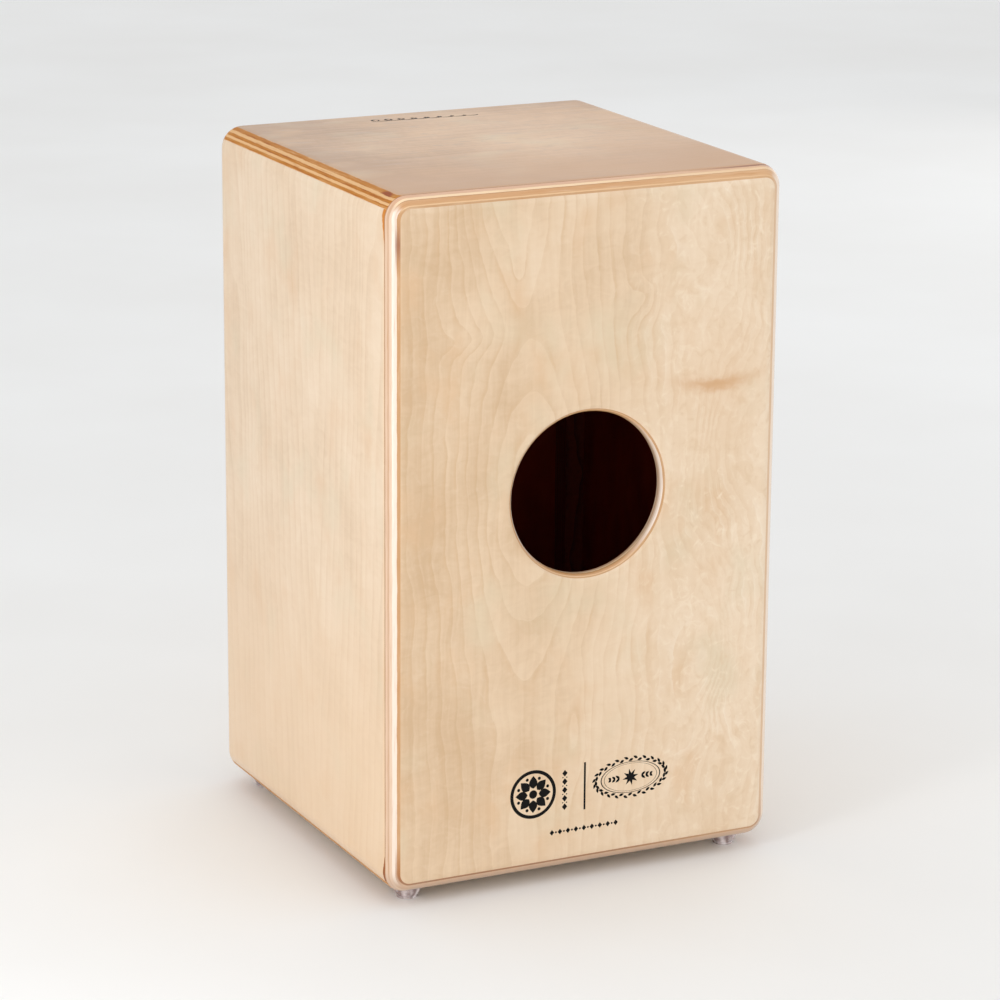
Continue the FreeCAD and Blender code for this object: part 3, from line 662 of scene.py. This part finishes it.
def prism(bm, outline, place):
    """Thin plate with a closed outline."""
    top = [bm.verts.new(place(u, v, INK_LIFT)) for u, v in outline]
    low = [bm.verts.new(place(u, v, -INK_SINK)) for u, v in outline]
    bm.faces.new(top)
    bm.faces.new(low[::-1])
    for i in range(len(top)):
        j = (i + 1) % len(top)
        bm.faces.new((top[i], low[i], low[j], top[j]))


def strip(bm, one, other, place, closed=False):
    """Thin plate between two lines of the same number of points."""
    rows = [[bm.verts.new(place(u, v, lift)) for u, v in line]
            for line in (one, other) for lift in (INK_LIFT, -INK_SINK)]
    one_top, one_low, other_top, other_low = rows
    count = len(one)
    for i in range(count if closed else count - 1):
        j = (i + 1) % count
        bm.faces.new((one_top[i], one_top[j], other_top[j], other_top[i]))
        bm.faces.new((one_low[j], one_low[i], other_low[i], other_low[j]))
        bm.faces.new((one_top[j], one_top[i], one_low[i], one_low[j]))
        bm.faces.new((other_top[i], other_top[j], other_low[j], other_low[i]))
    if not closed:
        for i in (0, count - 1):
            bm.faces.new((one_top[i], other_top[i], other_low[i], one_low[i]))


def turned(points, angle, centre):
    """Points turned by an angle in degrees about the origin, then moved to a centre."""
    c, s = math.cos(math.radians(angle)), math.sin(math.radians(angle))
    return [(centre[0] + c * u - s * v, centre[1] + s * u + c * v) for u, v in points]


def circle(centre, radius, count, squeeze=1.0):
    """Points of a circle, or of an ellipse squeezed along v."""
    angles = [2 * math.pi * i / count for i in range(count)]
    return [(centre[0] + radius * math.cos(angle), centre[1] + radius * squeeze * math.sin(angle))
            for angle in angles]


def leaf(length, width, count=9):
    """Pointed leaf along +u from the origin."""
    upper = [(length * i / count, width / 2 * math.sin(math.pi * (i / count) ** LEAF_SKEW))
             for i in range(count + 1)]
    return upper + [(u, -v) for u, v in upper[-2:0:-1]]


def lozenge(centre, width, height):
    u, v = centre
    return [(u - width / 2, v), (u, v + height / 2), (u + width / 2, v), (u, v - height / 2)]


# ---- ornaments ----------------------------------------------------------------------------------
def rosette(ink):
    """Eight leaves in a ring: the large ornament on the left."""
    bm = bmesh.new()
    centre = (-40.2, 69.4)
    petals = 8
    petal_start, petal_length, petal_width = 4.3, 9.4, 6.6
    dot_place, dot_radius, boss_radius = 12.2, 1.2, 3.1
    ring_inner, ring_outer = 15.3, 17.8
    for k in range(petals):
        angle = 360 / petals * k
        petal = [(u + petal_start, v) for u, v in leaf(petal_length, petal_width)]
        prism(bm, turned(petal, angle, centre), on_back)
        dot = circle((dot_place, 0), dot_radius, 14)
        prism(bm, turned(dot, angle + 180 / petals, centre), on_back)
    prism(bm, circle(centre, boss_radius, 28), on_back)
    strip(bm, circle(centre, ring_inner, 72), circle(centre, ring_outer, 72), on_back, closed=True)
    return publish("ornament_rosette", bm, ink)


def divider(ink):
    """Upright rule with a column of lozenges beside it, two dots between each two."""
    bm = bmesh.new()
    rule_half, rule_u, rule_low, rule_high = 0.75, 0.2, 52.2, 87.2
    prism(bm, [(rule_u - rule_half, rule_low), (rule_u + rule_half, rule_low),
               (rule_u + rule_half, rule_high), (rule_u - rule_half, rule_high)], on_back)
    column_u, first_lozenge, first_dots, pitch, count = -15.5, 56.6, 59.7, 6.2, 5
    dot_offset, dot_radius = 1.5, 0.5
    for k in range(count):
        prism(bm, lozenge((column_u, first_lozenge + pitch * k), 4.2, 5.0), on_back)
        if k < count - 1:
            for side in (-1, 1):
                dot = circle((column_u + dot_offset * side, first_dots + pitch * k), dot_radius, 10)
                prism(bm, dot, on_back)
    return publish("ornament_divider", bm, ink)


WREATH_CENTRE = (36.5, 70.9)
WREATH_HALF_WIDE = 28.0
WREATH_HALF_HIGH = 13.6


def wreath_leaves(bm):
    """Leaves round the oval, leaning out and in by turns."""
    count, lean = 48, 26
    for k in range(count):
        angle = 2 * math.pi * (k + 0.5) / count
        at = (WREATH_CENTRE[0] + WREATH_HALF_WIDE * math.cos(angle),
              WREATH_CENTRE[1] + WREATH_HALF_HIGH * math.sin(angle))
        heading = math.degrees(math.atan2(WREATH_HALF_HIGH * math.cos(angle),
                                          -WREATH_HALF_WIDE * math.sin(angle)))
        heading += lean if k % 2 else -lean
        prism(bm, turned(leaf(4.0, 2.0, 5), heading, at), on_back)


def wreath_star(bm):
    outer, inner, points = 6.4, 2.9, 8
    star = []
    for k in range(2 * points):
        radius = inner if k % 2 else outer
        angle = math.pi * k / points
        star.append((radius * math.cos(angle), radius * math.sin(angle)))
    prism(bm, turned(star, 90 / points, WREATH_CENTRE), on_back)


def wreath_sprigs(bm):
    """Pairs of leaves to the left and right of the star, smaller towards the ends."""
    start, pitch, spread = 8.6, 3.4, 38
    for side in (-1, 1):
        for k in range(3):
            at = (WREATH_CENTRE[0] + side * (start + pitch * k), WREATH_CENTRE[1])
            for lean in (-spread, spread):
                heading = (0 if side > 0 else 180) + lean
                prism(bm, turned(leaf(4.2 - 0.7 * k, 1.9, 6), heading, at), on_back)


def wreath(ink):
    """Oval of leaves round a star: the ornament on the right."""
    bm = bmesh.new()
    wreath_leaves(bm)
    squeeze = WREATH_HALF_HIGH / WREATH_HALF_WIDE
    for share, thick in ((0.82, 0.8), (0.74, 0.35)):
        radius = WREATH_HALF_WIDE * share
        strip(bm, circle(WREATH_CENTRE, radius, 72, squeeze),
              circle(WREATH_CENTRE, radius + thick, 72, squeeze), on_back, closed=True)
    wreath_star(bm)
    wreath_sprigs(bm)
    return publish("ornament_wreath", bm, ink)


def small_row(ink):
    """Row of small lozenges and dots under the ornaments."""
    bm = bmesh.new()
    count, start, length, height = 17, -25.2, 50.4, 38.6
    for k in range(count):
        centre = (start + length * k / (count - 1), height)
        shape = circle(centre, 0.75, 12) if k % 2 else lozenge(centre, 3.6, 4.2)
        prism(bm, shape, on_back)
    return publish("ornament_row", bm, ink)


def flourish(ink):
    """Plain pen flourish on the seat: a line of shrinking loops drawn with a broad nib."""
    bm = bmesh.new()
    count = 220
    left, right = [], []
    start, length, middle, rise, loops = -43.0, 84.0, -119.0, 7.0, 8.5
    first_size, shrink, stretch = 3.4, 0.6, 1.5
    nib_thin, nib_broad, nib_angle = 0.30, 0.62, 0.7
    taper, tip = 12, 0.25
    for i in range(count + 1):
        t = i / count
        turn = 2 * math.pi * loops * t
        size = first_size * (1 - shrink * t)
        u = start + length * t + stretch * size * math.sin(turn)
        v = middle + rise * t + size * math.cos(turn)
        heading = math.atan2(rise - size * math.sin(turn) * 2 * math.pi * loops,
                             length + stretch * size * math.cos(turn) * 2 * math.pi * loops)
        nib = nib_thin + nib_broad * abs(math.sin(heading - nib_angle))
        nib *= min(1.0, taper * t + tip, taper * (1 - t) + tip)
        left.append((u - nib * math.sin(heading), v + nib * math.cos(heading)))
        right.append((u + nib * math.sin(heading), v - nib * math.cos(heading)))
    strip(bm, left, right, on_seat)
    return publish("seat_flourish", bm, ink)


# ---- snare strings ------------------------------------------------------------------------------
STRING_RADIUS = 0.42
GROOVE_SHARE = 0.9             # a winding's groove, as a share of the string's radius
RIB_PITCH = 1.2
STRING_Y = -146.45
STRING_LOW_Z = 75.0
STRING_TOP_Z = 452.55
STRING_HALF_PITCH = 5.0
CARRIAGE_X = 48.0
STRING_TOP_X = 88.0
BALL_Y = -143.6
BALL_Z = 67.0
BALL_WRAP_RADIUS = 2.45
ANCHOR_Y = -138.0
ANCHOR_WRAP_RADIUS = 1.9


def tube(bm, path, radii, sides=8):
    """Round tube along points, closed at both ends."""
    rings = []
    normal = None
    for i, point in enumerate(path):
        ahead = path[min(i + 1, len(path) - 1)] - path[max(i - 1, 0)]
        ahead.normalize()
        if normal is None:
            normal = ahead.orthogonal().normalized()
        normal = (normal - ahead * normal.dot(ahead)).normalized()
        across = ahead.cross(normal)
        rings.append([
            bm.verts.new((point + (normal * math.cos(2 * math.pi * k / sides)
                                   + across * math.sin(2 * math.pi * k / sides)) * radii[i]) * MM)
            for k in range(sides)])
    for a, b in zip(rings, rings[1:]):
        for k in range(sides):
            bm.faces.new((a[k], a[(k + 1) % sides], b[(k + 1) % sides], b[k]))
    bm.faces.new(rings[0][::-1])
    bm.faces.new(rings[-1])


def arc_angles(start, sweep, count):
    """Angles in radians from a start, over a sweep, both in degrees."""
    return [math.radians(start + sweep * k / (count - 1)) for k in range(count)]


def string_route(bottom_x, top_x):
    """Round the ball end, up along the tapa, over the string bar and round the anchor screw."""
    route = []
    for angle in arc_angles(-150, 290, 9):
        route.append(Vector((bottom_x, BALL_Y + BALL_WRAP_RADIUS * math.sin(angle),
                             BALL_Z + BALL_WRAP_RADIUS * math.cos(angle))))
    route.append(Vector((bottom_x, BALL_Y - 0.4, BALL_Z + 4.6)))
    run = STRING_TOP_Z - STRING_LOW_Z
    steps = int(run / RIB_PITCH)
    for k in range(steps + 1):
        t = k / steps
        route.append(Vector((bottom_x + (top_x - bottom_x) * t, STRING_Y, STRING_LOW_Z + run * t)))
    for angle in arc_angles(-90, 400, 15):
        route.append(Vector((top_x + ANCHOR_WRAP_RADIUS * math.cos(angle),
                             ANCHOR_Y + ANCHOR_WRAP_RADIUS * math.sin(angle), STRING_TOP_Z)))
    return route


def snare_strings(name, side, material):
    """Two wound strings in place of the plain rods of the CAD."""
    bm = bmesh.new()
    for k in (-1, 1):
        offset = k * STRING_HALF_PITCH
        route = string_route(side * CARRIAGE_X + offset, side * STRING_TOP_X + offset)
        radii = [STRING_RADIUS * (1.0 if i % 2 else GROOVE_SHARE) for i in range(len(route))]
        tube(bm, route, radii)
    piece = publish("wound_strings_" + name, bm, material)
    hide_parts("snare_strings_" + name)
    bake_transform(piece)
    for face in piece.data.polygons:
        face.use_smooth = True


# ---- scene --------------------------------------------------------------------------------------
def dress(material, *names):
    """Gives CAD nodes a material."""
    for name in names:
        for slot in nodes[name].material_slots:
            slot.material = material


def paint_frame():
    dress(back_panel_material(), "back_panel")
    dress(side_panel_material(1), "side_panel_left")
    dress(side_panel_material(-1), "side_panel_right")
    dress(seat_material(), "seat_panel")
    dress(bottom_material(), "bottom_panel")
    dress(tapa_material(), "tapa")
    dress(batten_material(), *[n for n in nodes if "batten" in n], "string_bar")
    dress(rubber_material(), *[n for n in nodes if n.startswith("foot_") and n.count("_") == 2])
    dress(zinc_material(),
          "foot_screws", "foot_washers", "bracket_screws", "guide_bracket_left", "guide_bracket_right")
    dress(brushed_metal("nickel_plated", NICKEL, 0.28),
          "tapa_screws", "string_anchor_screws", "retaining_clip_left", "retaining_clip_right")
    dress(brushed_metal("black_oxide", BLACK_OXIDE, 0.38), "tension_bolt_left", "tension_bolt_right")
    dress(brushed_metal("machined_brass", BRASS, 0.26, (4.0, 0.4, 0.4)),
          "bolt_bush_left", "bolt_bush_right", "string_carriage_left", "string_carriage_right",
          "string_ball_ends_left", "string_ball_ends_right")


FLOOR_RADIUS = 14.0            # in metres


def floor():
    """Wide pale disc with a barely visible grain."""
    net = Net("pale_floor")
    cloud = net.noise(net.vector(net.x / 400, net.y / 400), 3.0)
    base = net.mix(cloud.step(-0.4, 0.4), srgb(243, 242, 240), srgb(249, 249, 248))
    material = net.finish(base, cloud * 0.05 + 0.7)
    bm = bmesh.new()
    bmesh.ops.create_circle(bm, cap_ends=True, radius=FLOOR_RADIUS, segments=96)
    mesh = bpy.data.meshes.new("studio_floor")
    bm.to_mesh(mesh)
    bm.free()
    mesh.materials.append(material)
    disc = bpy.data.objects.new("studio_floor", mesh)
    bpy.context.scene.collection.objects.link(disc)


# Soft lights: name, place, point aimed at, width and height, all in metres, and power in watts
LIGHTS = (
    ("key_left", (0.86, 0.50, 0.46), (0.15, 0.15, 0.25), (0.19, 0.9), 2.3),
    ("key_right", (-0.9, 2.2, 0.9), (0, 0.1, 0.25), (1.4, 1.4), 3.5),
    ("top", (0.2, 0.2, 2.6), (0, 0, 0.4), (2.2, 2.2), 4),
    ("far_side", (-2.3, -1.6, 1.0), (0, 0, 0.25), (1.6, 1.6), 4),
)
SKY_COLOUR = (0.98, 0.99, 1.0, 1.0)
SKY_STRENGTH = 0.84


def soft_light(name, place, aim, size, power):
    """Large rectangular soft light, not seen by the camera itself."""
    light = bpy.data.lights.new(name, "AREA")
    light.shape = "RECTANGLE"
    light.size, light.size_y = size
    light.energy = power
    lamp = bpy.data.objects.new(name, light)
    lamp.location = place
    lamp.rotation_euler = (Vector(aim) - Vector(place)).to_track_quat("-Z", "Y").to_euler()
    lamp.visible_camera = False
    bpy.context.scene.collection.objects.link(lamp)


def studio():
    world = bpy.data.worlds.new("studio")
    bpy.context.scene.world = world
    world.use_nodes = True
    sky = world.node_tree.nodes["Background"]
    sky.inputs[0].default_value = SKY_COLOUR
    sky.inputs[1].default_value = SKY_STRENGTH
    for light in LIGHTS:
        soft_light(*light)
    bpy.context.scene.view_settings.view_transform = "Standard"


# Camera: angles in degrees, distances in metres, lens and sensor in millimetres
CAMERA_AZIMUTH = 153.775
CAMERA_ELEVATION = 15.613
CAMERA_ROLL = 0.42
CAMERA_DISTANCE = 2.81776
CAMERA_AIM_OFFSET = 0.005636   # along the picture's horizontal
CAMERA_AIM_HEIGHT = 0.239626
CAMERA_LENS = 140.44
SENSOR_WIDTH = 36.0


def camera():
    """The photo's viewpoint, turned about its own axis by the roll."""
    a, e, r = (math.radians(d) for d in (CAMERA_AZIMUTH, CAMERA_ELEVATION, CAMERA_ROLL))
    back = Vector((math.sin(a) * math.cos(e), -math.cos(a) * math.cos(e), math.sin(e)))
    level = Vector((math.cos(a), math.sin(a), 0.0))
    up = back.cross(level)
    right = math.cos(r) * level + math.sin(r) * up
    upward = math.cos(r) * up - math.sin(r) * level
    aim = level * CAMERA_AIM_OFFSET + Vector((0, 0, CAMERA_AIM_HEIGHT))
    data = bpy.data.cameras.new("camera")
    data.lens = CAMERA_LENS
    data.sensor_width = SENSOR_WIDTH
    eye = bpy.data.objects.new("camera", data)
    turn = Matrix((right, upward, back)).transposed().to_4x4()
    eye.matrix_world = Matrix.Translation(aim + back * CAMERA_DISTANCE) @ turn
    bpy.context.scene.collection.objects.link(eye)
    bpy.context.scene.camera = eye


camera()
floor()
studio()
paint_frame()
ink = ink_material()
for ornament in (rosette, divider, wreath, small_row, flourish):
    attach(ornament(ink), "box")
wound = string_material()
snare_strings("left", 1, wound)
snare_strings("right", -1, wound)
